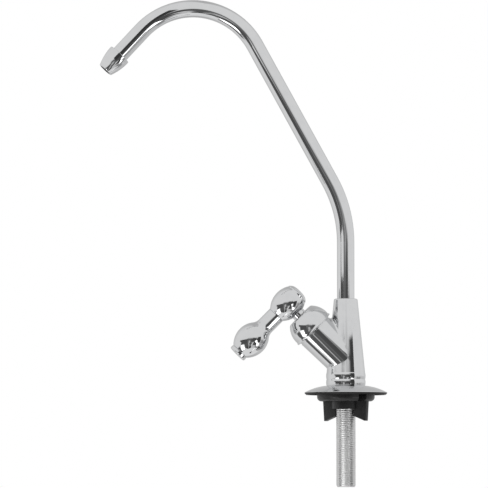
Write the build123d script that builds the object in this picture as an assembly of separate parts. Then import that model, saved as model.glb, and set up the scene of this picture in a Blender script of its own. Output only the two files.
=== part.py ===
from build123d import *
import math
import os

# Drinking water faucet in millimetres. The origin is on the shank's axis at the deck's surface,
# +Z is up, and the spout reaches towards -X.

# Fits
running_gap = 0.05      # radial clearance of turning and sliding fits
seat_gap = 0.05         # radial clearance of pieces pressed or screwed together
free_gap = 0.3          # space between pieces that pass without touching
cut_margin = 1.0        # how far a cut runs past the face that it opens
seam_chamfer = 0.2

# Dress plate
plate_radius = 24.0
plate_sheet = 0.8
plate_top = 5.1
plate_land_radius = 12.5
plate_shoulder_radius = 19.5
plate_shoulder_height = 3.3
plate_rim_height = 1.2
plate_rim_round = 0.5
plate_foot_radius = 22.8
plate_foot_width = 1.0

# Rubber washer under the dress plate
gasket_radius = 18.0
gasket_thickness = 2.0
gasket_recess = 0.6

# Shank
shank_radius = 5.55
shank_bore_radius = 3.3
shank_bottom = -53.2
shank_socket_depth = 12.0
shank_chamfer = 0.6
relief_height = -38.0
relief_width = 1.0
relief_depth = 0.4
shank_seal_thickness = 1.0

# Column of the body
bead_count = 2
bead_height = 3.8
bead_edge_radius = 11.05
bead_bulge = 0.25
column_top_radius = 6.75
column_top = 55.1
column_edge_round = 0.9
crotch_round = 1.0

# Valve branch, on an axis at 45 degrees, from its root on the column's axis
branch_tilt = 45.0
branch_root_height = 19.05
branch_root_inset = 0.15
branch_radius = 11.1
branch_length = 24.85
seat_depth = 9.5
ledge_width = 1.0
inlet_radius = 2.5
outlet_radius = 3.0
outlet_floor = 31.5

# Seat seal and ceramic discs, stacked up from the seat
seal_thickness = 1.5
seal_bore_radius = 5.9
seal_margin = 0.2
disc_radius = 6.8
disc_thickness = 2.5
port_radius = 2.1
port_offset = 3.6
drive_slot_width = 2.0
drive_slot_depth = 1.0
lug_width = 2.4

# Cartridge sleeve
cartridge_bore_gap = 0.1
cartridge_wall = 0.6
cartridge_side_gap = 0.7
cartridge_end_gap = 0.5
cartridge_flange = 2.0
cartridge_neck_radius = 5.0
window_width = 6.0
window_height = 2.2
cartridge_ring_thickness = 1.1

# Spindle
spindle_radius = 3.0
spindle_reach = 4.4
spindle_plate_thickness = 1.5
spindle_ring_height = 28.0
spindle_ring_thickness = 0.9
spindle_flat_depth = 0.6
spindle_flat_length = 7.0
spindle_clip_thickness = 0.7
spindle_clip_radius = 4.4
spindle_clip_groove = 0.7
spindle_clip_drop = 0.4

# Bonnet, upwards from the branch's end
skirt_height = 1.15
seam_groove = 0.25
lip_radius = 12.7
lip_height = 0.9
dome_radius = 12.3
dome_rise = 1.1
dome_height = 9.2
dome_wall = 1.5
dome_edge_round = 0.7
bonnet_thread_wall = 1.5

# Handle, on an axis square to the valve's. Its ball and pear are arcs of revolution.
handle_standoff = 9.9
hub_radius = 8.72
hub_sweep = 13.7
hub_end = 6.9
waist_radius = 5.15
waist_seam = 9.8
hub_waist_round = 1.2
collar_radius = 4.0
collar_gap = 0.1
pear_radius = 9.15
pear_place = 29.6
pear_near_sweep = 12.2
pear_far_sweep = 13.2
pear_waist_round = 6.0
pear_end_radius = 5.0
button_radius = 5.35
button_neck = 0.25
button_thickness = 2.1
button_round = 0.6
stud_radius = 2.5
stud_length = 5.6

# Cap and screw of the hub
cap_radius = 6.65
cap_rim = 0.7
cap_crown = 2.0
cap_flat_radius = 1.5
cap_shoulder_radius = 5.0
cap_shoulder_drop = 0.55
cap_spigot_length = 1.8
screw_radius = 2.5
screw_socket_flats = 2.5
screw_socket_depth = 1.5

# Spout
tube_radius = 5.0
tube_wall = 1.0
knee_start = 87.5
knee_radius = 72.7
knee_turn = 28.94
slant_length = 89.1
crook_radius = 40.4
crook_turn = 108.36
leg_length = 18.6

# Turned foot of the spout, downwards from the column's top
tube_seat_depth = 6.6
clip_drop = 2.5
clip_thickness = 1.0
clip_depth = 0.75
clip_reach = 0.6
clip_opening = 60.0
clip_play = 0.2
spout_ring_thickness = 1.6
upper_ring_drop = 3.2
ring_spacing = 3.3
foot_end = 1.5
foot_bottom_gap = 1.0
foot_bore_radius = 2.4
foot_spigot_length = 7.5

# Turned tip of the spout
tip_radius = 6.7
tip_length = 12.3
tip_belly_radius = 6.2
tip_belly_place = 6.0
tip_shoulder_place = 2.0
tip_end_radius = 4.3
tip_edge_round = 0.35
tip_socket_depth = 5.0
tip_bore_radius = 3.5

# Wing nut
nut_flange_radius = 16.5
nut_flange_top = 0.3
nut_flange_thickness = 4.0
nut_flange_round = 2.4
nut_hub_radius = 8.7
nut_hub_length = 4.9
nut_bore_gap = 0.1
wing_radius = 15.4
wing_taper = 0.6
wing_thickness = 3.5
wing_length = 10.9
wing_slope = 20.0
wing_inner_reach = 6.8
wing_edge_round = 0.9
wing_turn = -36.0
notch_width = 6.4
notch_floor_radius = 10.5


def turned(*lines):
    """One solid of revolution about Z from a closed outline of radius and height."""
    outline = [edge for line in lines for edge in line.edges()]
    return revolve(Plane.XZ * make_face(outline), axis=Axis.Z)


def rod(radius, low, high):
    """A cylinder on Z between two heights."""
    return Pos(0, 0, low) * Cylinder(radius, high - low, align=(Align.CENTER, Align.CENTER, Align.MIN))


def pipe(outer, inner, low, high):
    return rod(outer, low, high) - rod(inner, low, high)


def groove(shaft, depth, low, high):
    """The cutter of a groove that goes round a shaft."""
    return pipe(shaft + cut_margin, shaft - depth, low, high)


def bar(length, width, low, high):
    """A block on Z, lengthwise along X."""
    return Pos(0, 0, low) * Box(length, width, high - low, align=(Align.CENTER, Align.CENTER, Align.MIN))


def ring(inner, thickness, height):
    """A rubber ring that fills a groove from the inner radius, its round section in eight flats."""
    low = height - thickness / 2
    band = pipe(inner + thickness, inner, low, low + thickness)
    return chamfer(band.edges().filter_by(GeomType.CIRCLE), thickness / (2 + math.sqrt(2)))


def split_ring(outer, inner, low, high):
    """A spring ring with its gap."""
    half = math.radians(clip_opening / 2)
    reach = 2 * outer
    side = reach * math.sin(half)
    ahead = reach * math.cos(half)
    wedge = Polyline((0, 0), (ahead, -side), (ahead, side), close=True)
    gap = Pos(0, 0, low) * extrude(make_face(wedge), high - low)
    return pipe(outer, inner, low, high) - gap


def sweep_radius(sweep, widest, place):
    """Radius of a turned form at a distance from its widest place, on an arc of the given radius."""
    return widest - sweep + math.sqrt(sweep**2 - place**2)


def sweep_place(sweep, widest, radius):
    """Distance from the widest place at which that arc has come in to a radius."""
    return math.sqrt(sweep**2 - (sweep - widest + radius) ** 2)


# Heights and radii that several pieces share

base_top = plate_top + bead_count * bead_height
shank_top = plate_top + shank_socket_depth
column_slope = (bead_edge_radius - column_top_radius) / (column_top - base_top)
branch_root_radius = bead_edge_radius - column_slope * (branch_root_height - base_top) - branch_root_inset

disc_low = seat_depth + seal_thickness
disc_middle = disc_low + disc_thickness
disc_high = disc_middle + disc_thickness
drive_top = disc_high + spindle_plate_thickness
sleeve_inner = disc_radius + cartridge_bore_gap
sleeve_outer = sleeve_inner + cartridge_wall
chamber_radius = sleeve_outer + cartridge_side_gap
thread_bore_radius = chamber_radius + ledge_width
ledge_depth = drive_top + cartridge_end_gap
flange_top = ledge_depth + cartridge_flange
flange_middle = ledge_depth + cartridge_flange / 2
flange_radius = thread_bore_radius - seat_gap

lip_bottom = branch_length + skirt_height
lip_top = lip_bottom + lip_height
dome_centre = lip_top + dome_rise
dome_top = dome_centre + dome_height
clip_seat = dome_top - dome_wall - spindle_clip_drop - spindle_clip_thickness
cartridge_neck_top = clip_seat - running_gap
handle_height = dome_top + handle_standoff
spindle_top = handle_height + spindle_reach

tube_foot = column_top - tube_seat_depth
clip_height = tube_foot - clip_drop
spout_ring_high = clip_height - upper_ring_drop
spout_ring_low = spout_ring_high - ring_spacing
foot_low = spout_ring_low - foot_end
socket_floor = foot_low - foot_bottom_gap

nut_flange_low = nut_flange_top - nut_flange_thickness
nut_hub_bottom = nut_flange_low - nut_hub_length
nut_bore_radius = shank_radius + nut_bore_gap
wing_bottom = nut_flange_low - wing_length

# Axes that several pieces share

tilt = math.radians(branch_tilt)
valve_axis = (-math.sin(tilt), 0, math.cos(tilt))
handle_axis = (math.cos(tilt), 0, math.sin(tilt))
valve = Plane(origin=(0, 0, branch_root_height), x_dir=handle_axis, z_dir=valve_axis)
handle_centre = valve.from_local_coords((0, 0, handle_height))
handle = Plane(origin=handle_centre, x_dir=valve_axis, z_dir=handle_axis)


def make_body():
    """The casting: tapered column on a beaded base, with the valve branch."""
    outline = [Line((0, plate_top), (bead_edge_radius, plate_top))]
    for i in range(bead_count):
        low = plate_top + i * bead_height
        high = low + bead_height
        crest = (bead_edge_radius + bead_bulge, (low + high) / 2)
        outline.append(ThreePointArc((bead_edge_radius, low), crest, (bead_edge_radius, high)))
    column = turned(
        *outline,
        Polyline((bead_edge_radius, base_top), (column_top_radius, column_top), (0, column_top)),
        Line((0, column_top), (0, plate_top)),
    )
    top_edge = column.edges().filter_by(GeomType.CIRCLE).sort_by(Axis.Z)[-1]
    column = fillet(top_edge, column_edge_round)
    branch = Pos(0, 0, branch_length / 2) * Cone(branch_root_radius, branch_radius, branch_length)
    casting = column + valve.location * branch
    plain = (GeomType.CIRCLE, GeomType.LINE)
    seam = [edge for edge in casting.edges() if edge.geom_type not in plain]
    return fillet(seam, crotch_round)


def seam_cutter(low, high):
    """The cutter of a small step at the end of branch or bonnet, which draws their seam as a line."""
    outer = rod(branch_radius + cut_margin, low, high)
    return outer - rod(branch_radius - seam_groove, low, high)


def drilled(casting):
    """Shank socket, waterways, valve chamber and spout socket."""
    socket_end = shank_top + shank_seal_thickness
    casting -= rod(shank_radius + seat_gap, plate_top, socket_end)
    casting -= rod(shank_bore_radius, socket_end, branch_root_height)
    casting -= valve.location * rod(inlet_radius, 0, seat_depth)
    casting -= valve.location * rod(chamber_radius, seat_depth, ledge_depth)
    casting -= valve.location * rod(thread_bore_radius, ledge_depth, branch_length)
    casting -= valve.location * seam_cutter(branch_length - seam_groove, branch_length)
    casting -= rod(tube_radius + running_gap, socket_floor, column_top)
    casting -= rod(outlet_radius, outlet_floor, socket_floor)
    clip_room = tube_radius + clip_reach + free_gap
    casting -= rod(clip_room, clip_height - clip_play, clip_height + clip_thickness + clip_play)
    return casting


def make_escutcheon():
    """Pressed dress plate: one sheet domed over, with its rim turned in to a foot on the deck."""
    hole = shank_radius + free_gap
    lean = math.atan2(plate_top - plate_rim_height, plate_radius - plate_land_radius)
    foot_inner = plate_foot_radius - plate_foot_width
    under_shoulder = (
        plate_shoulder_radius - plate_sheet * math.sin(lean),
        plate_shoulder_height - plate_sheet * math.cos(lean),
    )
    under_top = plate_top - plate_sheet
    plate = turned(
        Line((hole, plate_top), (plate_land_radius, plate_top)),
        ThreePointArc(
            (plate_land_radius, plate_top),
            (plate_shoulder_radius, plate_shoulder_height),
            (plate_radius, plate_rim_height),
        ),
        Polyline(
            (plate_radius, plate_rim_height), (plate_foot_radius, 0),
            (foot_inner, 0), (foot_inner, plate_rim_height),
        ),
        ThreePointArc((foot_inner, plate_rim_height), under_shoulder, (plate_land_radius, under_top)),
        Polyline((plate_land_radius, under_top), (hole, under_top), (hole, plate_top)),
    )
    circles = plate.edges().filter_by(lambda edge: edge.is_closed)
    return fillet(circles.sort_by(SortBy.RADIUS)[-1], plate_rim_round)


def make_gasket():
    return pipe(gasket_radius, shank_radius + free_gap, gasket_recess, gasket_recess + gasket_thickness)


def make_shank():
    """Threaded tube, drawn at its full thread diameter, with a relief above the supply end."""
    tube = rod(shank_radius, shank_bottom, shank_top)
    tube = chamfer(tube.edges().filter_by(GeomType.CIRCLE), shank_chamfer)
    tube -= rod(shank_bore_radius, shank_bottom, shank_top)
    return tube - groove(shank_radius, relief_depth, relief_height - relief_width, relief_height)


def make_seal():
    return pipe(chamber_radius - seal_margin, seal_bore_radius, seat_depth, seat_depth + seal_thickness)


def make_fixed_disc():
    """The lower ceramic disc: two round ports, and two lugs that the sleeve holds from turning."""
    disc = rod(disc_radius, disc_low, disc_middle)
    lugs = bar(lug_width, 2 * sleeve_outer, disc_low, disc_middle)
    disc += lugs & rod(sleeve_outer, disc_low, disc_middle)
    for side in (-1, 1):
        disc -= Pos(side * port_offset, 0, 0) * rod(port_radius, disc_low, disc_middle)
    return disc


def make_moving_disc():
    """The upper ceramic disc, closed at rest: two ports open to the rim, and the drive slot."""
    disc = rod(disc_radius, disc_middle, disc_high)
    reach = disc_radius + cut_margin
    for side in (-1, 1):
        port = rod(port_radius, disc_middle, disc_high)
        port += Pos(0, side * reach / 2, 0) * bar(2 * port_radius, reach, disc_middle, disc_high)
        disc -= Pos(0, side * port_offset, 0) * port
    return disc - bar(2 * reach, drive_slot_width, disc_high - drive_slot_depth, disc_high)


def make_cartridge():
    """Brass sleeve: a windowed cup over the discs, a clamped flange and the spindle's neck."""
    sleeve = rod(sleeve_outer, disc_low, ledge_depth)
    sleeve += rod(flange_radius, ledge_depth, flange_top)
    sleeve += rod(cartridge_neck_radius, flange_top, cartridge_neck_top)
    sleeve -= rod(sleeve_inner, disc_low, drive_top + cartridge_bore_gap)
    sleeve -= rod(spindle_radius + running_gap, disc_low, cartridge_neck_top)
    across = 2 * (sleeve_outer + cut_margin)
    sleeve -= bar(across, window_width, disc_middle, disc_middle + window_height)
    sleeve -= bar(lug_width + 2 * running_gap, across, disc_low, disc_middle)
    half = cartridge_ring_thickness / 2 + seat_gap
    low = flange_middle - half
    return sleeve - groove(flange_radius, cartridge_ring_thickness, low, low + 2 * half)


def make_spindle():
    """Turned spindle: drive plate with a tongue, ring and clip grooves, and a flat for the screw."""
    spindle = rod(disc_radius, disc_high, drive_top)
    spindle += rod(spindle_radius, drive_top, spindle_top)
    tongue_length = 2 * (disc_radius - free_gap)
    tongue_low = disc_high - drive_slot_depth + running_gap
    spindle += bar(tongue_length, drive_slot_width - 2 * running_gap, tongue_low, disc_high)
    half = spindle_ring_thickness / 2 + seat_gap
    low = spindle_ring_height - half
    spindle -= groove(spindle_radius, spindle_ring_thickness, low, low + 2 * half)
    spindle -= groove(spindle_radius, spindle_clip_groove, clip_seat, clip_seat + spindle_clip_thickness)
    flat = Pos(spindle_radius - spindle_flat_depth, 0, handle_height) * Box(
        spindle_flat_depth + cut_margin, 2 * spindle_radius, spindle_flat_length,
        align=(Align.MIN, Align.CENTER, Align.CENTER),
    )
    return spindle - flat


def make_spindle_clip():
    inner = spindle_radius - spindle_clip_groove + seat_gap
    return split_ring(spindle_clip_radius, inner, clip_seat, clip_seat + spindle_clip_thickness)


def make_bonnet():
    """Dome nut: lip and seam skirt over a threaded spigot that clamps the cartridge."""
    shoulder = sweep_radius(dome_radius, dome_radius, dome_rise)
    crown = sweep_radius(dome_radius, dome_radius, dome_height)
    halfway = dome_height / 2
    flank = (sweep_radius(dome_radius, dome_radius, halfway), dome_centre + halfway)
    shell = turned(
        Polyline(
            (0, branch_length), (branch_radius, branch_length), (branch_radius, lip_bottom),
            (lip_radius, lip_bottom), (lip_radius, lip_top), (shoulder, lip_top),
        ),
        ThreePointArc((shoulder, lip_top), flank, (crown, dome_top)),
        Polyline((crown, dome_top), (0, dome_top), (0, branch_length)),
    )
    rim = shell.edges().filter_by(GeomType.CIRCLE).group_by(Axis.Z)[-1]
    shell = fillet(rim, dome_edge_round)
    shell -= seam_cutter(branch_length, branch_length + seam_groove)
    shell += rod(flange_radius, flange_top, branch_length)
    hollow = Pos(0, 0, dome_centre) * Sphere(dome_radius - dome_wall)
    shell -= hollow & rod(dome_radius, lip_top, dome_top - dome_wall)
    shell -= rod(flange_radius - bonnet_thread_wall, flange_top, lip_top)
    return shell - rod(spindle_radius + free_gap, lip_top, dome_top)


def make_hub():
    """Ball of the handle with its collar, bored for spindle, lever stud, screw and cap."""
    low = -sweep_place(hub_sweep, hub_radius, waist_radius)
    end_radius = sweep_radius(hub_sweep, hub_radius, hub_end)
    ball = turned(
        Polyline((0, -waist_seam), (waist_radius, -waist_seam), (waist_radius, low)),
        ThreePointArc((waist_radius, low), (hub_radius, 0), (end_radius, hub_end)),
        Polyline((end_radius, hub_end), (0, hub_end), (0, -waist_seam)),
    )
    waist = ball.edges().filter_by(GeomType.CIRCLE).sort_by(Axis.Z)[1]
    ball = handle.location * fillet(waist, hub_waist_round)
    collar_low = dome_top + collar_gap
    ball += valve.location * rod(collar_radius, collar_low, handle_height)
    ball -= valve.location * rod(spindle_radius + seat_gap, collar_low, spindle_top + free_gap)
    ball -= handle.location * rod(screw_radius + seat_gap, 0, hub_end)
    stud_end = stud_length + free_gap - waist_seam
    return ball - handle.location * rod(stud_radius + seat_gap, -waist_seam, stud_end)


def make_lever():
    """Pear-shaped lever with its end button and a stud that screws into the hub."""
    near = pear_place - sweep_place(pear_near_sweep, pear_radius, waist_radius)
    neck = pear_place + sweep_place(pear_far_sweep, pear_radius, pear_end_radius)
    end = neck + button_thickness
    near_flank = (near + pear_place) / 2
    far_flank = (neck + pear_place) / 2
    lever = turned(
        Polyline((0, waist_seam), (waist_radius, waist_seam), (waist_radius, near)),
        ThreePointArc(
            (waist_radius, near),
            (sweep_radius(pear_near_sweep, pear_radius, pear_place - near_flank), near_flank),
            (pear_radius, pear_place),
        ),
        ThreePointArc(
            (pear_radius, pear_place),
            (sweep_radius(pear_far_sweep, pear_radius, far_flank - pear_place), far_flank),
            (pear_end_radius, neck),
        ),
        Polyline(
            (pear_end_radius, neck), (button_radius, neck + button_neck), (button_radius, end), (0, end),
            (0, waist_seam),
        ),
    )
    circles = lever.edges().filter_by(GeomType.CIRCLE).sort_by(Axis.Z)
    lever = fillet(circles[1], pear_waist_round)
    lever = chamfer(lever.edges().filter_by(GeomType.CIRCLE).sort_by(Axis.Z)[0], seam_chamfer)
    lever = fillet(lever.edges().filter_by(GeomType.CIRCLE).sort_by(Axis.Z)[-1], button_round)
    lever += rod(stud_radius, waist_seam - stud_length, waist_seam)
    return handle.location * Rot(180, 0, 0) * lever


def make_cap():
    """Domed cap with a spigot pressed into the hub's screw hole."""
    rim_top = hub_end + cap_rim
    top = rim_top + cap_crown
    shoulder = (cap_shoulder_radius, top - cap_shoulder_drop)
    cap = turned(
        Polyline((0, hub_end), (cap_radius, hub_end), (cap_radius, rim_top)),
        ThreePointArc((cap_radius, rim_top), shoulder, (cap_flat_radius, top)),
        Polyline((cap_flat_radius, top), (0, top), (0, hub_end)),
    )
    cap += rod(screw_radius, hub_end - cap_spigot_length, hub_end)
    return handle.location * cap


def make_screw():
    """Socket screw that bites on the spindle's flat."""
    low = spindle_radius - spindle_flat_depth + seat_gap
    high = hub_end - cap_spigot_length - free_gap
    screw = rod(screw_radius, low, high)
    hexagon = RegularPolygon(screw_socket_flats / 2, 6, major_radius=False)
    socket = Pos(0, 0, high - screw_socket_depth) * extrude(hexagon, screw_socket_depth)
    return handle.location * (screw - socket)


def spout_path(end_length):
    """Centre line of the tube: upright leg, knee, slant, crook and end leg."""
    knee = math.radians(knee_turn)
    final = math.radians(knee_turn + crook_turn)
    knee_reach = knee_radius * math.tan(knee / 2)
    crook_reach = crook_radius * math.tan(math.radians(crook_turn) / 2)
    between = knee_reach + slant_length + crook_reach
    corner_one = Vector(0, knee_start + knee_reach)
    corner_two = corner_one + Vector(-math.sin(knee), math.cos(knee)) * between
    end = corner_two + Vector(-math.sin(final), math.cos(final)) * (crook_reach + end_length)
    corners = [(0, tube_foot), corner_one, corner_two, end]
    return Plane.XZ * FilletPolyline(*corners, radius=[knee_radius, crook_radius])


def make_tube():
    path = spout_path(leg_length + tip_socket_depth)
    start = Plane(origin=path @ 0, z_dir=path % 0)
    outer = sweep(start * Circle(tube_radius), path=path)
    inner = sweep(start * Circle(tube_radius - tube_wall), path=path)
    return outer - inner


def make_tip():
    """Turned outlet: a flange round the tube that tapers to the outlet's edge."""
    path = spout_path(leg_length)
    mouth = Plane(origin=path @ 1, z_dir=path % 1)
    shoulder = (tip_radius, tip_shoulder_place)
    tip = turned(
        Polyline((0, 0), (tip_radius, 0), shoulder),
        ThreePointArc(shoulder, (tip_belly_radius, tip_belly_place), (tip_end_radius, tip_length)),
        Polyline((tip_end_radius, tip_length), (0, tip_length), (0, 0)),
    )
    ends = tip.edges().filter_by(GeomType.CIRCLE).sort_by(Axis.Z)
    tip = fillet([ends[0], ends[-1]], tip_edge_round)
    tip -= rod(tube_radius + seat_gap, 0, tip_socket_depth)
    tip -= rod(tip_bore_radius, tip_socket_depth, tip_length)
    return mouth.location * tip


def make_foot():
    """Turned foot under the tube: spigot, clip groove and two ring grooves."""
    spigot_top = tube_foot + foot_spigot_length
    foot = rod(tube_radius, foot_low, tube_foot)
    foot += rod(tube_radius - tube_wall - seat_gap, tube_foot, spigot_top)
    half = spout_ring_thickness / 2 + seat_gap
    for height in (spout_ring_low, spout_ring_high):
        foot -= groove(tube_radius, spout_ring_thickness, height - half, height + half)
    foot -= groove(tube_radius, clip_depth, clip_height - seat_gap, clip_height + clip_thickness + seat_gap)
    return foot - rod(foot_bore_radius, foot_low, spigot_top)


def make_spout_clip():
    inner = tube_radius - clip_depth + seat_gap
    return split_ring(tube_radius + clip_reach, inner, clip_height, clip_height + clip_thickness)


def make_wing(angle):
    """One wing of the nut, a plate that hangs from the flange."""
    inner_bottom = wing_bottom + (wing_radius - wing_inner_reach) * math.tan(math.radians(wing_slope))
    root = nut_flange_low + cut_margin
    side = Polyline(
        (nut_bore_radius, root),
        (wing_radius + wing_taper, root),
        (wing_radius + wing_taper, nut_flange_low),
        (wing_radius, wing_bottom),
        (wing_inner_reach, inner_bottom),
        (nut_bore_radius, inner_bottom),
        close=True,
    )
    plate = extrude(Plane.XZ * make_face(side), wing_thickness / 2, both=True)
    tip = plate.edges().filter_by(Axis.Y).sort_by(Axis.Z)[0]
    return Rot(0, 0, angle) * fillet(tip, wing_edge_round)


def make_notch(angle):
    """The coring notch beside a wing, open at the flange's rim."""
    depth = nut_flange_radius - notch_floor_radius + cut_margin
    notch = Pos(notch_floor_radius, -wing_thickness / 2, nut_flange_low) * Box(
        depth, notch_width, nut_flange_thickness, align=(Align.MIN, Align.MAX, Align.MIN)
    )
    return Rot(0, 0, angle) * notch


def make_wing_nut():
    """Moulded nut: flange, hub and two wings, with a coring notch beside each wing."""
    nut = rod(nut_flange_radius, nut_flange_low, nut_flange_top)
    lower_rim = nut.edges().filter_by(GeomType.CIRCLE).sort_by(Axis.Z)[0]
    nut = fillet(lower_rim, nut_flange_round)
    nut += rod(nut_hub_radius, nut_hub_bottom, nut_flange_low + cut_margin)
    for turn in (0, 180):
        nut += make_wing(wing_turn + turn)
        nut -= make_notch(wing_turn + turn)
    return nut - rod(nut_bore_radius, wing_bottom, nut_flange_top)


def build(name, part):
    """Write one piece under its own name."""
    part.label = name
    export_step(part, os.path.join("parts", name + ".step"))


os.makedirs("parts", exist_ok=True)

build("body", drilled(make_body()))
build("escutcheon", make_escutcheon())
build("deck_gasket", make_gasket())
build("shank", make_shank())
build("shank_seal", pipe(shank_radius, shank_bore_radius, shank_top, shank_top + shank_seal_thickness))

build("seat_seal", valve.location * make_seal())
build("ceramic_disc_fixed", valve.location * make_fixed_disc())
build("ceramic_disc_moving", valve.location * make_moving_disc())
build("cartridge_body", valve.location * make_cartridge())
sleeve_ring = flange_radius - cartridge_ring_thickness
build("cartridge_o_ring", valve.location * ring(sleeve_ring, cartridge_ring_thickness, flange_middle))
build("spindle", valve.location * make_spindle())
spindle_ring = spindle_radius - spindle_ring_thickness
build("spindle_o_ring", valve.location * ring(spindle_ring, spindle_ring_thickness, spindle_ring_height))
build("spindle_clip", valve.location * make_spindle_clip())
build("bonnet", valve.location * make_bonnet())

build("handle_hub", make_hub())
build("handle_lever", make_lever())
build("hub_cap", make_cap())
build("grub_screw", make_screw())

build("spout_tube", make_tube())
build("nozzle_tip", make_tip())
build("spout_foot", make_foot())
spout_ring = tube_radius - spout_ring_thickness
build("spout_o_ring_lower", ring(spout_ring, spout_ring_thickness, spout_ring_low))
build("spout_o_ring_upper", ring(spout_ring, spout_ring_thickness, spout_ring_high))
build("spout_clip", make_spout_clip())

build("wing_nut", make_wing_nut())
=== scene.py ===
import math

import bmesh
import bpy
from mathutils import Matrix, Quaternion, Vector


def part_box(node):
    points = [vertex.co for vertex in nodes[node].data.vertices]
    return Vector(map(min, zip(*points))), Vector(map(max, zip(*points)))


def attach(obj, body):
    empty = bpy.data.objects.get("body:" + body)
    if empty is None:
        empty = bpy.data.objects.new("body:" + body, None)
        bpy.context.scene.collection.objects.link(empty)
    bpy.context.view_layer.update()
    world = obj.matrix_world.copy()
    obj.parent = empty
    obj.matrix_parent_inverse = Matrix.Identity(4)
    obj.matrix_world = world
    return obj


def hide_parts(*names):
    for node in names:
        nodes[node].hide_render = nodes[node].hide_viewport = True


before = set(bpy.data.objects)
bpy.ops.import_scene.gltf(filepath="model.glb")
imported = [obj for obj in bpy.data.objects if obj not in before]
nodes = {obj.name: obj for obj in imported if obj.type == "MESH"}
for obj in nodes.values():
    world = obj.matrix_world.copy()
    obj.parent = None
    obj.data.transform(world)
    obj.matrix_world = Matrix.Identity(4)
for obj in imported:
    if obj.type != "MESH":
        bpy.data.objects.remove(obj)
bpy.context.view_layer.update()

scene = bpy.context.scene
scene.view_settings.view_transform = "Standard"


# The camera looks slightly upwards from a long way off, a little to the spout's side,
# as the photograph does.

aim = Vector((-0.0585, 0, 0.0863))
camera_azimuth = math.radians(-4.26)
camera_elevation = math.radians(-3.33)
camera_distance = 2.379
picture_pixels = 488
pixels_per_metre = 1745.7

towards_camera = Vector((
    math.sin(camera_azimuth) * math.cos(camera_elevation),
    -math.cos(camera_azimuth) * math.cos(camera_elevation),
    math.sin(camera_elevation),
))
camera = bpy.data.objects.new("camera", bpy.data.cameras.new("camera"))
camera.data.sensor_width = 36
camera.data.lens = pixels_per_metre * camera_distance * camera.data.sensor_width / picture_pixels
camera.location = aim + towards_camera * camera_distance
camera.rotation_euler = towards_camera.to_track_quat("Z", "Y").to_euler()
scene.collection.objects.link(camera)
scene.camera = camera


# The studio is a white tent that stands open towards the lens. Its light comes from all sides,
# and polished metal shows the opening as a dark band, which is what gives chrome its shape.

class Shade:
    """A socket in a node tree. Operators on it add Math nodes, and node() adds any other node."""

    def __init__(self, tree, socket=None):
        self.tree = tree
        self.socket = socket

    def node(self, kind, settings, values, out=0):
        """Any node: its settings come first, then the values or links of its sockets."""
        made = self.tree.nodes.new("ShaderNode" + kind)
        for name, value in settings.items():
            setattr(made, name, value)
        for name, value in values.items():
            if isinstance(value, Shade):
                self.tree.links.new(value.socket, made.inputs[name])
            else:
                made.inputs[name].default_value = value
        return Shade(self.tree, made.outputs[out]) if made.outputs else None

    def math(self, operation, first, second=0.0):
        return self.node("Math", {"operation": operation}, {0: first, 1: second})

    def __add__(self, other):
        return self.math("ADD", self, other)

    def __sub__(self, other):
        return self.math("SUBTRACT", self, other)

    def __mul__(self, other):
        return self.math("MULTIPLY", self, other)

    def __rsub__(self, other):
        return self.math("SUBTRACT", other, self)

    __radd__ = __add__
    __rmul__ = __mul__

    def step(self, low, high):
        """0 below low and 1 above high, with a soft change between."""
        soft = {"interpolation_type": "SMOOTHSTEP"}
        return self.node("MapRange", soft, {0: self, 1: low, 2: high})

    def zone(self, low, high, soft_low, soft_high):
        """1 between low and high, fading to 0 outside them over the softness of each side."""
        return self.step(low - soft_low, low) * (1 - self.step(high, high + soft_high))

    def towards(self, other, share):
        """This value, moved by a share of the way to another."""
        return self + share * (other - self)

    def axes(self):
        """The X, Y and Z of a point, each as a value."""
        split = self.node("SeparateXYZ", {}, {0: self})
        return [Shade(self.tree, socket) for socket in split.socket.node.outputs]

    def noise(self, place, per_metre, detail, roughness=0.5, out=0):
        """Unevenness between 0 and 1, with so many lumps in a metre."""
        return self.node("TexNoise", {}, {
            "Vector": place, "Scale": per_metre, "Detail": detail, "Roughness": roughness,
        }, out=out)

    def blend_tones(self, share, first, second):
        """A colour a share of the way from the first to the second."""
        return self.node("Mix", {"data_type": "RGBA"}, {0: share, 6: first, 7: second}, out=2)


def blank_material(name):
    """A material with no nodes yet, and the Shade that adds to it."""
    material = bpy.data.materials.new(name)
    material.use_nodes = True
    material.node_tree.nodes.clear()
    return material, Shade(material.node_tree)


def place_on_object(shade):
    return shade.node("TexCoord", {}, {}, out="Object")


def link_mesh(name, sketch, material):
    """A new object from a bmesh, which it closes."""
    mesh = bpy.data.meshes.new(name)
    sketch.to_mesh(mesh)
    sketch.free()
    mesh.materials.append(material)
    piece = bpy.data.objects.new(name, mesh)
    scene.collection.objects.link(piece)
    return piece


white = (1, 1, 1, 1)

world = bpy.data.worlds.new("tent")
world.use_nodes = True
world.node_tree.nodes.clear()
sky = Shade(world.node_tree)
sky_light = sky.node("Background", {}, {"Color": white, "Strength": 1.0})
sky.node("OutputWorld", {}, {"Surface": sky_light})
scene.world = world

floor_height = -0.45
floor_reach = 12.0
floor_tone = (0.9, 0.9, 0.9, 1)
floor_glow = 0.9        # share of pure white in what the lens sees, so that a shadow still shows


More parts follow.
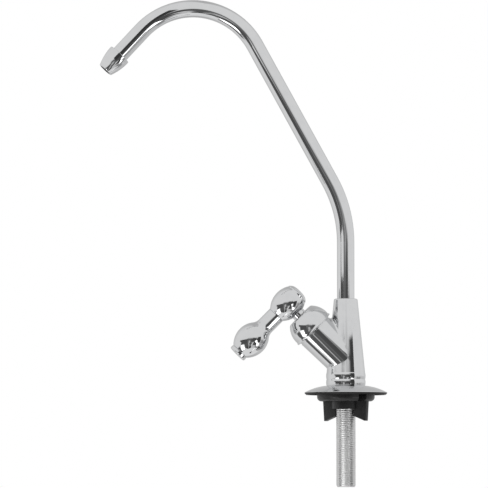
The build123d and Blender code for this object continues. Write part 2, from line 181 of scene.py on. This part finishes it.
def make_floor():
    """A white sheet on the ground: pure white to the lens and to metal, but it keeps the shadow."""
    material, shade = blank_material("white_sheet")
    rays = shade.node("LightPath", {}, {})
    seen = [
        Shade(shade.tree, rays.socket.node.outputs[kind])
        for kind in ("Is Camera Ray", "Is Glossy Ray", "Is Transmission Ray")
    ]
    direct = shade.math("MAXIMUM", shade.math("MAXIMUM", seen[0], seen[1]), seen[2])
    matt = shade.node("BsdfDiffuse", {}, {"Color": floor_tone})
    glow = shade.node("Emission", {}, {"Color": white, "Strength": 1.0})
    mixed = shade.node("MixShader", {}, {0: direct * floor_glow, 1: matt, 2: glow})
    shade.node("OutputMaterial", {}, {"Surface": mixed})
    sketch = bmesh.new()
    bmesh.ops.create_grid(sketch, x_segments=8, y_segments=8, size=floor_reach)
    bmesh.ops.translate(sketch, vec=(0, 0, floor_height), verts=sketch.verts)
    return link_mesh("floor", sketch, material)


make_floor()

tent_radius = 0.60
tent_middle = Vector((0, -0.05, 0.05))
cloth_tone = 0.93
back_tone = 0.60
back_start, back_end = 112, 174     # degrees from the opening over which the cloth turns greyer
folds_per_metre = 7.0
cloth_sag = 9.0                     # degrees by which folds move the edges of what the cloth shows

# What the cloth shows beside plain white, as azimuth and elevation from and to in degrees, the
# softness of the left, right, lower and upper edge, and the brightness: grey folds, the dark
# room beyond the opening, and the stand below it.
tent_patches = [
    (60, 150, -45, -10, 14, 14, 10, 10, 0.72),
    (-104, -84, -56, -24, 6, 6, 6, 7, 0.12),
    (68, 92, -27, -12, 6, 6, 5, 5, 0.38),
    (35, 115, -60, -46, 8, 8, 5, 5, 0.35),
    (5, 30, -60, -38, 6, 6, 6, 6, 0.70),
    (-50, -6, -45, -14, 5, 8, 5, 6, 0.13),
    (-34, -5, -66, -42, 6, 6, 5, 5, 0.06),
    (-30, 3, -16, 5, 10, 6, 5, 11, 0.16),
    (10, 42, -38, 2.5, 5, 6, 5, 2, 0.09),
    (8, 26, -12, 7, 34, 3, 5, 6, 0.09),
    (-77, -71, 2.5, 5.5, 2, 2, 1, 1, 0.05),
    (-22.5, -18.5, -48, -6, 3, 3, 5, 6, 0.60),
]


def make_tent():
    """The cloth as a ball round the faucet. The lens looks in from outside and doesn't see it."""
    material, shade = blank_material("tent_cloth")
    across, away, up = place_on_object(shade).axes()
    folds = shade.noise(place_on_object(shade), folds_per_metre, detail=2, out="Color")
    sway, rise, _ = folds.axes()
    azimuth = shade.math("ARCTAN2", across - tent_middle.x, tent_middle.y - away) * math.degrees(1)
    azimuth = azimuth + (sway - 0.5) * 2 * cloth_sag
    elevation = shade.math("ARCSINE", (up - tent_middle.z) * (1 / tent_radius)) * math.degrees(1)
    elevation = elevation + (rise - 0.5) * 2 * cloth_sag
    behind = shade.math("ABSOLUTE", azimuth).step(back_start, back_end)
    tone = behind * (back_tone - cloth_tone) + cloth_tone
    for left, right, low, high, soft_left, soft_right, soft_low, soft_high, bright in tent_patches:
        across_patch = azimuth.zone(left, right, soft_left, soft_right)
        up_patch = elevation.zone(low, high, soft_low, soft_high)
        tone = tone.towards(bright, across_patch * up_patch)
    grey = shade.node("CombineColor", {}, {0: tone, 1: tone, 2: tone})
    shade.node("OutputMaterial", {}, {"Surface": shade.node("Emission", {}, {"Color": grey})})
    sketch = bmesh.new()
    bmesh.ops.create_uvsphere(sketch, u_segments=96, v_segments=48, radius=tent_radius)
    bmesh.ops.translate(sketch, vec=tent_middle, verts=sketch.verts)
    bmesh.ops.reverse_faces(sketch, faces=sketch.faces)
    cloth = link_mesh("tent", sketch, material)
    cloth.visible_camera = False
    return cloth


make_tent()

flag_top_softness = 0.004


def show_only_in_polish(card):
    """Keeps a card out of the picture, out of the soft light and out of the shadows."""
    card.visible_camera = False
    card.visible_diffuse = False
    card.visible_shadow = False
    return card


def make_flag(name, left, right, low, high, reach, soft, bright):
    """A card on a stand close to the faucet, seen only in its polish: its edges in degrees and
    metres, its distance from the column, the softness of its left edge and its brightness."""
    material, shade = blank_material(name)
    across, away, up = place_on_object(shade).axes()
    azimuth = shade.math("ARCTAN2", across, away * -1) * math.degrees(1)
    top_fade = 1 - up.step(high - flag_top_softness, high)
    cover = azimuth.step(left, left + soft) * top_fade
    glow = shade.node("Emission", {}, {"Color": (bright, bright, bright, 1)})
    clear = shade.node("BsdfTransparent", {}, {})
    faded = shade.node("MixShader", {}, {0: cover, 1: clear, 2: glow})
    shade.node("OutputMaterial", {}, {"Surface": faded})
    sketch = bmesh.new()
    start, sweep = math.radians(left), math.radians(right - left)
    start_x, start_y = reach * math.sin(start), -reach * math.cos(start)
    ends = [sketch.verts.new((start_x, start_y, height)) for height in (low, high)]
    edge = sketch.edges.new(ends)
    bmesh.ops.spin(
        sketch, geom=[*ends, edge], cent=(0, 0, 0), axis=(0, 0, 1), angle=sweep, steps=24,
    )
    return show_only_in_polish(link_mesh(name, sketch, material))


make_flag("flag_right", 5, 45.0, -0.030, 0.063, 0.13, 22, 0.06)
make_flag("flag_left", -70, -32, -0.072, 0.089, 0.40, 2, 0.10)
make_flag("shank_card_left", -92, -60, -0.125, -0.026, 0.045, 6, 0.0)
make_flag("shank_card_light", -44, -24, -0.110, -0.024, 0.045, 6, 2.1)
make_flag("shank_card_right", 42, 76, -0.125, -0.020, 0.045, 6, 0.0)


spout_card_middle = (-0.1175, -0.025, 0.2074)
spout_card_slant = -45
spout_card_half_length = 0.026
spout_card_half_width = 0.0062
spout_card_tone = (0.05, 0.05, 0.05, 1)


def make_spout_card():
    """A narrow black card along the spout's last bend, seen only in its polish."""
    material, shade = blank_material("black_card")
    glow = shade.node("Emission", {}, {"Color": spout_card_tone})
    shade.node("OutputMaterial", {}, {"Surface": glow})
    size = Matrix.Diagonal((spout_card_half_length, spout_card_half_width, 1, 1))
    upright = Matrix.Rotation(math.radians(90), 4, "X") @ size
    slant = Matrix.Rotation(math.radians(spout_card_slant), 4, "Y")
    place = Matrix.Translation(spout_card_middle) @ slant @ upright
    sketch = bmesh.new()
    bmesh.ops.create_grid(sketch, x_segments=1, y_segments=1, size=1, matrix=place)
    return show_only_in_polish(link_mesh("spout_card", sketch, material))


make_spout_card()

lamp_distance = 0.93 * tent_radius


def make_lamp(name, azimuth, elevation, roll, width, height, brightness):
    """A soft lamp just inside the cloth, facing the faucet."""
    light = bpy.data.lights.new(name, "AREA")
    light.shape = "RECTANGLE"
    light.size = width
    light.size_y = height
    light.energy = brightness * math.pi * width * height
    lamp = bpy.data.objects.new(name, light)
    turn, rise = math.radians(azimuth), math.radians(elevation)
    outwards = Vector((
        math.sin(turn) * math.cos(rise), -math.cos(turn) * math.cos(rise), math.sin(rise),
    ))
    lamp.location = tent_middle + outwards * lamp_distance
    facing = outwards.to_track_quat("Z", "Y") @ Quaternion((0, 0, 1), math.radians(roll))
    lamp.rotation_euler = facing.to_euler()
    lamp.visible_camera = False
    scene.collection.objects.link(lamp)


make_lamp("lamp_left", azimuth=-64, elevation=-35, roll=0, width=0.17, height=0.27, brightness=3.2)
make_lamp("lamp_right", azimuth=38, elevation=-28, roll=-54, width=0.5, height=0.12, brightness=3.0)


# The body: one brass casting, turned on the column and the branch, polished and chrome plated.
# It stands on the dress plate, and the shank screws into it from below.

chrome_clear = (0.655, 0.66, 0.665, 1)
chrome_hazed = (0.625, 0.63, 0.638, 1)
chrome_roughness = 0.045
haze_roughness = 0.035          # what the haze of wiping adds to it
buffing_roughness = 0.01        # what the fine lines of the buffing wheel add
buffing_lines = 2600            # in a metre
# A painted dark reflection on the plate's turned-in rim: its tone, its roughness and the softness
# of its edge.
painted_rim_reflection_tone = (0.035, 0.035, 0.035, 1)
painted_rim_roughness = 0.5
painted_rim_softness = 0.00004


def make_chrome(name, wave, wave_size, haze_size, painted_dark_below=None):
    """Chrome plate: wave is how far the buffed brass under it rises and falls, in metres. Below
    a given height the colour is a painted dark reflection, and the roughness is higher."""
    material, shade = blank_material(name)
    place = place_on_object(shade)
    buffing = shade.noise(place, 1 / wave_size, detail=1.5, roughness=0.4)
    haze = shade.noise(place, 1 / haze_size, detail=4, roughness=0.6)
    lines = shade.noise(place, buffing_lines, detail=2)
    roughness = chrome_roughness + haze_roughness * haze.step(0.4, 0.75) + buffing_roughness * lines
    tone = shade.blend_tones(haze.step(0.3, 0.8), chrome_clear, chrome_hazed)
    # Below the given height, a painted dark reflection replaces the chrome's colour.
    if painted_dark_below is not None:
        painted_rim = 1 - place.axes()[2].step(painted_dark_below - painted_rim_softness, painted_dark_below + painted_rim_softness)
        tone = shade.blend_tones(painted_rim, tone, painted_rim_reflection_tone)
        roughness = roughness.towards(painted_rim_roughness, painted_rim)
    bump = shade.node("Bump", {}, {"Strength": 1.0, "Distance": wave, "Height": buffing})
    metal = shade.node("BsdfPrincipled", {}, {
        "Base Color": tone, "Metallic": 1.0, "Roughness": roughness, "Normal": bump,
    })
    shade.node("OutputMaterial", {}, {"Surface": metal})
    return material


def dress(material, *names):
    """Gives CAD nodes a material."""
    for name in names:
        for slot in nodes[name].material_slots:
            slot.material = material


dress(make_chrome("chrome_cast", wave=0.00008, wave_size=0.018, haze_size=0.0055), "body")


# The bonnet: a dome nut turned from brass bar and chromed. Its bevelled lip is what a wrench with
# padded jaws holds, and below it the nut screws into the branch and clamps the cartridge.

valve_root = 0.01905                # height at which the branch's axis leaves the column's
half_root = math.sqrt(0.5)          # sine and cosine of the branch's 45 degrees
valve_place = Matrix((
    (half_root, 0, -half_root, 0),
    (0, 1, 0, 0),
    (half_root, 0, half_root, valve_root),
    (0, 0, 0, 1),
))
branch_radius = 0.0111
branch_end = 0.02485
bonnet_foot = 0.0200
thread_radius_inside = 0.00915
lip_radius = 0.0127
lip_bottom = 0.0258
lip_crest = 0.0263
lip_top = 0.0271
dome_radius = 0.0123
dome_centre = 0.0280
dome_top = 0.0372
dome_wall = 0.0015
stem_hole = 0.0033
seam_depth = 0.0005
seam_width = 0.0003
lip_bottom_round = 0.0003
lip_crest_round = 0.00012
crown_round = 0.0007
stem_hole_round = 0.0002
seam_round = 0.0001
corner_angle = math.radians(32)     # a ridge sharper than this shows as an edge


def arc(sketch, start, centre, turn, steps):
    """Carries a point of an outline round a centre height on the axis, and gives its last place."""
    made = bmesh.ops.spin(
        sketch, geom=[start], cent=(0, 0, centre), axis=(0, -1, 0), angle=math.radians(turn),
        steps=steps,
    )
    return made["geom_last"][0]


def round_rim(sketch, radius, height, size, segments, near):
    """Rounds the edges that lie on a circle about the axis, to within near."""
    def on_circle(vertex):
        reach = math.hypot(vertex.co.x, vertex.co.y)
        return abs(reach - radius) < near and abs(vertex.co.z - height) < near

    rim = [edge for edge in sketch.edges if all(on_circle(vertex) for vertex in edge.verts)]
    bmesh.ops.bevel(
        sketch, geom=rim, offset=size, affect="EDGES", segments=segments, profile=0.5, material=-1,
    )


def smooth_between_corners(sketch):
    """Turns the faces outwards and shades them smooth, with a hard line at each corner."""
    bmesh.ops.recalc_face_normals(sketch, faces=sketch.faces)
    for face in sketch.faces:
        face.smooth = True
    for edge in sketch.edges:
        edge.smooth = edge.calc_face_angle(0) < corner_angle


def turn_up(sketch, rounded, place):
    """Spins an outline in the XZ plane into a turned piece, rounds its rims and places it."""
    bmesh.ops.spin(
        sketch, geom=sketch.verts[:] + sketch.edges[:], cent=(0, 0, 0), axis=(0, 0, 1),
        angle=math.tau, steps=128, use_merge=True,
    )
    bmesh.ops.remove_doubles(sketch, verts=sketch.verts, dist=1e-7)
    for radius, height, size in rounded:
        round_rim(sketch, radius, height, size, segments=4, near=2e-6)
    smooth_between_corners(sketch)
    bmesh.ops.transform(sketch, matrix=place, verts=sketch.verts)
    return sketch


def make_bonnet():
    """Outline from the thread's foot up over the lip and dome, and back down the hollow."""
    sketch = bmesh.new()
    wall = thread_radius_inside - dome_wall
    lower_angle = math.degrees(math.asin((dome_centre - lip_top) / dome_radius))
    upper_angle = math.degrees(math.asin((dome_top - dome_centre) / dome_radius))
    shoulder = dome_radius * math.cos(math.radians(lower_angle))
    seam_radius = branch_radius - seam_depth
    seam_end = branch_end + seam_width
    outline = [
        (wall, bonnet_foot), (thread_radius_inside, bonnet_foot),
        (thread_radius_inside, branch_end), (seam_radius, branch_end), (seam_radius, seam_end),
        (branch_radius, seam_end), (branch_radius, lip_bottom), (lip_radius, lip_bottom),
        (lip_radius, lip_crest), (shoulder, lip_top),
    ]
    points = [sketch.verts.new((r, 0, h)) for r, h in outline]
    for pair in zip(points, points[1:]):
        sketch.edges.new(pair)
    crown = arc(sketch, points[-1], dome_centre, lower_angle + upper_angle, steps=24)
    inner = dome_radius - dome_wall
    ceiling = dome_top - dome_wall
    ceiling_angle = math.degrees(math.asin((ceiling - dome_centre) / inner))
    ceiling_radius = inner * math.cos(math.radians(ceiling_angle))
    back = [(stem_hole, dome_top), (stem_hole, ceiling), (ceiling_radius, ceiling)]
    points_back = [sketch.verts.new((r, 0, h)) for r, h in back]
    for pair in zip([crown, *points_back], points_back):
        sketch.edges.new(pair)
    floor_angle = math.degrees(math.asin((dome_centre - lip_top) / inner))
    bottom = arc(sketch, points_back[-1], dome_centre, -ceiling_angle - floor_angle, steps=16)
    ledge = sketch.verts.new((wall, 0, lip_top))
    sketch.edges.new((bottom, ledge))
    sketch.edges.new((ledge, points[0]))
    crown_radius = dome_radius * math.cos(math.radians(upper_angle))
    rounded = [
        (lip_radius, lip_bottom, lip_bottom_round),
        (lip_radius, lip_crest, lip_crest_round),
        (crown_radius, dome_top, crown_round),
        (stem_hole, dome_top, stem_hole_round),
        (branch_radius, seam_end, seam_round),
    ]
    return turn_up(sketch, rounded, valve_place)


chrome_turned = make_chrome("chrome_turned", wave=0.00003, wave_size=0.012, haze_size=0.004)
dress(chrome_turned, "bonnet")
dome_nut = link_mesh("dome_nut", make_bonnet(), chrome_turned)
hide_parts("bonnet")
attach(dome_nut, "fixed")


# The valve inside the branch: a brass sleeve and spindle with two lapped ceramic discs, one turning
# on the other, and a clip of spring steel. Bare turned brass keeps its tool lines.

stains_per_metre = 220
stain_tone = 0.82           # a stain's tone as a share of the clean metal's
tool_roughness = 0.12       # by how much the tool lines make the roughness vary


def make_metal(name, tone, roughness, grain, depth):
    """Bare or dull plated metal: grain is the tool lines in a metre, depth their height."""
    material, shade = blank_material(name)
    place = place_on_object(shade)
    stain = shade.noise(place, stains_per_metre, detail=4, roughness=0.6)
    lines = shade.noise(place, grain, detail=3, roughness=0.6)
    stained = (*[part * stain_tone for part in tone], 1)
    worn = shade.blend_tones(stain.step(0.35, 0.75) * 0.5, (*tone, 1), stained)
    bump = shade.node("Bump", {}, {"Strength": 1.0, "Distance": depth, "Height": lines})
    metal = shade.node("BsdfPrincipled", {}, {
        "Base Color": worn, "Metallic": 1.0, "Normal": bump,
        "Roughness": roughness - tool_roughness / 2 + tool_roughness * lines,
    })
    shade.node("OutputMaterial", {}, {"Surface": metal})
    return material


clouds_per_metre = 150
cloud_tone = 1.25           # a paler cloud's tone as a share of the plain colour's
cloud_roughness = (-0.05, 0.12)     # what a cloud changes, as a shift and a range


def make_matt(name, tone, roughness, grain, depth, shine=0.5):
    """A moulded or fired material, plastic, rubber or ceramic: grain is the bumps in a metre,
    depth their height."""
    material, shade = blank_material(name)
    place = place_on_object(shade)
    cloud = shade.noise(place, clouds_per_metre, detail=3, roughness=0.55)
    fine = shade.noise(place, grain, detail=3, roughness=0.65)
    paler = (*[min(1, part * cloud_tone) for part in tone], 1)
    colour = shade.blend_tones(cloud.step(0.35, 0.7), (*tone, 1), paler)
    bump = shade.node("Bump", {}, {"Strength": 0.5, "Distance": depth, "Height": fine})
    shift, spread = cloud_roughness
    solid = shade.node("BsdfPrincipled", {}, {
        "Base Color": colour, "Roughness": roughness + shift + spread * cloud, "Normal": bump,
        "Specular IOR Level": shine,
    })
    shade.node("OutputMaterial", {}, {"Surface": solid})
    return material


brass = make_metal(
    "turned_brass", tone=(0.72, 0.56, 0.28), roughness=0.3, grain=1800, depth=0.00002,
)
greased_brass = make_metal(
    "greased_brass", tone=(0.22, 0.19, 0.13), roughness=0.35, grain=1800, depth=0.00002,
)
spring_steel = make_metal(
    "spring_steel", tone=(0.55, 0.55, 0.55), roughness=0.3, grain=2400, depth=0.00002,
)
ceramic = make_matt(
    "lapped_ceramic", tone=(0.8, 0.79, 0.75), roughness=0.35, grain=3000, depth=0.00001,
)
dress(brass, "cartridge_body")
dress(greased_brass, "spindle")
dress(spring_steel, "spindle_clip")
dress(ceramic, "ceramic_disc_fixed", "ceramic_disc_moving")


# The rubber seals: a flat ring under the lower disc and one over the shank, and round rings on the
# sleeve and the spindle, pressed into their grooves.

black_rubber = make_matt(
    "black_rubber", tone=(0.02, 0.02, 0.02), roughness=0.6, grain=2500, depth=0.00003,
)
dress(black_rubber, "seat_seal", "shank_seal", "cartridge_o_ring", "spindle_o_ring")


# The lever handle: a forged ball on the spindle, a pear-shaped lever screwed into it, and a domed
# cap pressed in over the grub screw. All but the screw are chromed.

chrome_forged = make_chrome("chrome_forged", wave=0.00006, wave_size=0.012, haze_size=0.005)
dress(chrome_forged, "handle_hub", "handle_lever")
dress(chrome_turned, "hub_cap")
dress(spring_steel, "grub_screw")


# The spout: a thin brass tube bent twice on a former and chromed, with a turned tip soldered on.
# Its brass foot turns in the body on two rubber rings, and a split clip holds it down.

dress(make_chrome("chrome_drawn", wave=0.00004, wave_size=0.030, haze_size=0.006), "spout_tube")
dress(chrome_turned, "nozzle_tip")
dress(brass, "spout_foot")
dress(black_rubber, "spout_o_ring_lower", "spout_o_ring_upper")
dress(spring_steel, "spout_clip")


# The dress plate: thin brass sheet pressed into a dome, chromed, with its rim turned in. A dark
# reflection is painted along the rim's lower edge. A black rubber washer fills its hollow and
# seals it below.

# Below this height the plate's rim carries a painted dark reflection.
rim_height = 0.00125
chrome_pressed = make_chrome(
    "chrome_pressed", wave=0.00006, wave_size=0.020, haze_size=0.006, painted_dark_below=rim_height,
)
dress(chrome_pressed, "escutcheon")
dress(black_rubber, "deck_gasket")


# The shank: a nickel-plated brass tube with a fine thread rolled along its whole length,
# screwed into the body. The wing nut and the supply line both fit its thread.

shank_low, shank_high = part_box("shank")
thread_radius = shank_high.x
thread_pitch = 0.0010583
thread_depth = 0.00024
thread_crest = 0.62                     # where on a pitch the flat crest ends
thread_root = (0.76, 0.86)              # where on a pitch the groove's floor starts and ends
shank_bore = 0.0033
shank_chamfer = 0.0008
shank_cut = 0.0005                      # how much shorter the visible tube is than the solid
shank_foot = shank_low.z + shank_cut
steps_per_turn = 36


def make_thread():
    """One tooth spun into a helix, cut flat at both ends and closed on to the bore."""
    sketch = bmesh.new()
    root = thread_radius - thread_depth
    start = shank_foot - 2 * thread_pitch
    turns = math.ceil((shank_high.z - start) / thread_pitch) + 2
    tooth = [
        (thread_radius, 0), (thread_radius, thread_crest),
        (root, thread_root[0]), (root, thread_root[1]), (thread_radius, 1),
    ]
    points = [sketch.verts.new((r, 0, start + share * thread_pitch)) for r, share in tooth]
    edges = [sketch.edges.new(pair) for pair in zip(points, points[1:])]
    bmesh.ops.spin(
        sketch, geom=points + edges, cent=(0, 0, 0), axis=(0, 0, 1),
        dvec=(0, 0, thread_pitch / steps_per_turn),
        angle=turns * math.tau, steps=turns * steps_per_turn,
    )
    bmesh.ops.remove_doubles(sketch, verts=sketch.verts, dist=1e-6)
    for height, up in ((shank_foot, -1), (shank_high.z, 1)):
        geometry = sketch.verts[:] + sketch.edges[:] + sketch.faces[:]
        bmesh.ops.bisect_plane(
            sketch, geom=geometry, dist=1e-7, plane_co=(0, 0, height), plane_no=(0, 0, up),
            clear_outer=True,
        )
    for vertex in sketch.verts:
        limit = thread_radius
        end = min(vertex.co.z - shank_foot, shank_high.z - vertex.co.z)
        if end < shank_chamfer:
            limit = thread_radius - shank_chamfer + end
        reach = math.hypot(vertex.co.x, vertex.co.y)
        if reach > limit:
            vertex.co.x *= limit / reach
            vertex.co.y *= limit / reach
    bore_loops = []
    for height in (shank_foot, shank_high.z):
        rim = [e for e in sketch.edges if e.is_boundary and abs(e.verts[0].co.z - height) < 1e-6]
        made = bmesh.ops.create_circle(sketch, segments=72, radius=shank_bore)
        bmesh.ops.translate(sketch, vec=(0, 0, height), verts=made["verts"])
        circle = list(dict.fromkeys(e for v in made["verts"] for e in v.link_edges))
        bmesh.ops.bridge_loops(sketch, edges=rim + circle)
        bore_loops += circle
    bmesh.ops.bridge_loops(sketch, edges=bore_loops)
    bmesh.ops.recalc_face_normals(sketch, faces=sketch.faces)
    for face in sketch.faces:
        face.smooth = True
    return sketch


nickel = make_metal(
    "dull_nickel", tone=(0.66, 0.66, 0.66), roughness=0.35, grain=1500, depth=0.000002,
)
threaded_shank = link_mesh("threaded_shank", make_thread(), nickel)
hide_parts("shank")
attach(threaded_shank, "fixed")
dress(nickel, "shank")


# The wing nut: one black plastic moulding with a satin skin, screwed up under the deck by hand.
# The mould is cored out beside each wing, which leaves a notch in the flange.

nut_top = 0.0003
flange_low = -0.0037
flange_radius = 0.0165
flange_round = 0.0024
notch_floor = 0.0105
notch_angle = 19.0
notch_turn = -69.0
hub_radius = 0.0080
hub_low = -0.0080
nut_bore = 0.00565
wing_low = -0.0151
wing_reach = 0.0144
wing_reach_low = 0.0137
wing_reach_inner = 0.0068
wing_rise = 0.0027
wing_thickness = 0.0035
wing_turn = -36.0
wing_root = nut_bore + 0.0005       # the wing starts inside the hub's wall
wing_top = flange_low + 0.001       # and reaches up into the flange
wing_edge_round = 0.0005


def make_turned_part(sketch, outline, start, turn, steps):
    """Spins a closed outline about the axis from one angle through another, in degrees."""
    points = [sketch.verts.new((r, 0, h)) for r, h in outline]
    edges = [sketch.edges.new((points[i - 1], points[i])) for i in range(len(points))]
    to_start = Matrix.Rotation(math.radians(start), 3, "Z")
    bmesh.ops.rotate(sketch, cent=(0, 0, 0), matrix=to_start, verts=points)
    bmesh.ops.spin(
        sketch, geom=points + edges, cent=(0, 0, 0), axis=(0, 0, 1), angle=math.radians(turn),
        steps=steps, use_merge=turn == 360,
    )


def make_wing(sketch, angle):
    """A flat wing on one side of the hub, with its outer edges rounded, turned into its place."""
    side = [
        (wing_root, wing_top), (wing_reach, wing_top), (wing_reach, flange_low),
        (wing_reach_low, wing_low), (wing_reach_inner, wing_low + wing_rise),
        (wing_root, wing_low + wing_rise),
    ]
    points = [sketch.verts.new((r, -wing_thickness / 2, h)) for r, h in side]
    plate = sketch.faces.new(points)
    made = bmesh.ops.extrude_face_region(sketch, geom=[plate], use_keep_orig=True)["geom"]
    moved = [v for v in made if isinstance(v, bmesh.types.BMVert)]
    bmesh.ops.translate(sketch, vec=(0, wing_thickness, 0), verts=moved)
    wing = points + moved
    outer_edges = [
        edge for edge in dict.fromkeys(e for v in wing for e in v.link_edges)
        if min(v.co.x for v in edge.verts) > wing_reach_low - 1e-6
    ]
    rounded = bmesh.ops.bevel(
        sketch, geom=outer_edges, offset=wing_edge_round, affect="EDGES", segments=3, profile=0.5,
        material=-1,
    )
    wing = {v for v in wing if v.is_valid} | set(rounded["verts"])
    to_place = Matrix.Rotation(math.radians(angle), 3, "Z")
    bmesh.ops.rotate(sketch, cent=(0, 0, 0), matrix=to_place, verts=list(wing))


def make_wing_nut():
    """A turned middle, two arcs of flange with the notches between them, and two wings."""
    sketch = bmesh.new()
    middle = [
        (nut_bore, nut_top), (notch_floor, nut_top), (notch_floor, flange_low),
        (hub_radius, flange_low), (hub_radius, hub_low), (nut_bore, hub_low),
    ]
    arm = [
        (notch_floor, nut_top), (flange_radius, nut_top),
        (flange_radius, flange_low), (notch_floor, flange_low),
    ]
    first_arm = notch_turn + notch_angle
    arm_sweep = 180 - notch_angle
    make_turned_part(sketch, middle, start=0, turn=360, steps=96)
    make_turned_part(sketch, arm, start=first_arm, turn=arm_sweep, steps=44)
    make_turned_part(sketch, arm, start=first_arm + 180, turn=arm_sweep, steps=44)
    hub_foot = [v for v in sketch.verts if v.co.z < hub_low + 1e-5]
    bmesh.ops.remove_doubles(sketch, verts=hub_foot, dist=1e-7)
    arm_ends = [e for e in sketch.edges if e.is_boundary]
    bmesh.ops.holes_fill(sketch, edges=arm_ends, sides=8)
    round_rim(sketch, flange_radius, flange_low, flange_round, segments=6, near=1e-6)
    make_wing(sketch, wing_turn)
    make_wing(sketch, wing_turn + 180)
    smooth_between_corners(sketch)
    return sketch


black_plastic = make_matt(
    "black_plastic", tone=(0.016, 0.016, 0.016), roughness=0.36, grain=1600, depth=0.00003,
    shine=0.32,
)
dress(black_plastic, "wing_nut")
winged_nut = link_mesh("winged_nut", make_wing_nut(), black_plastic)
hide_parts("wing_nut")
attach(winged_nut, "nut")
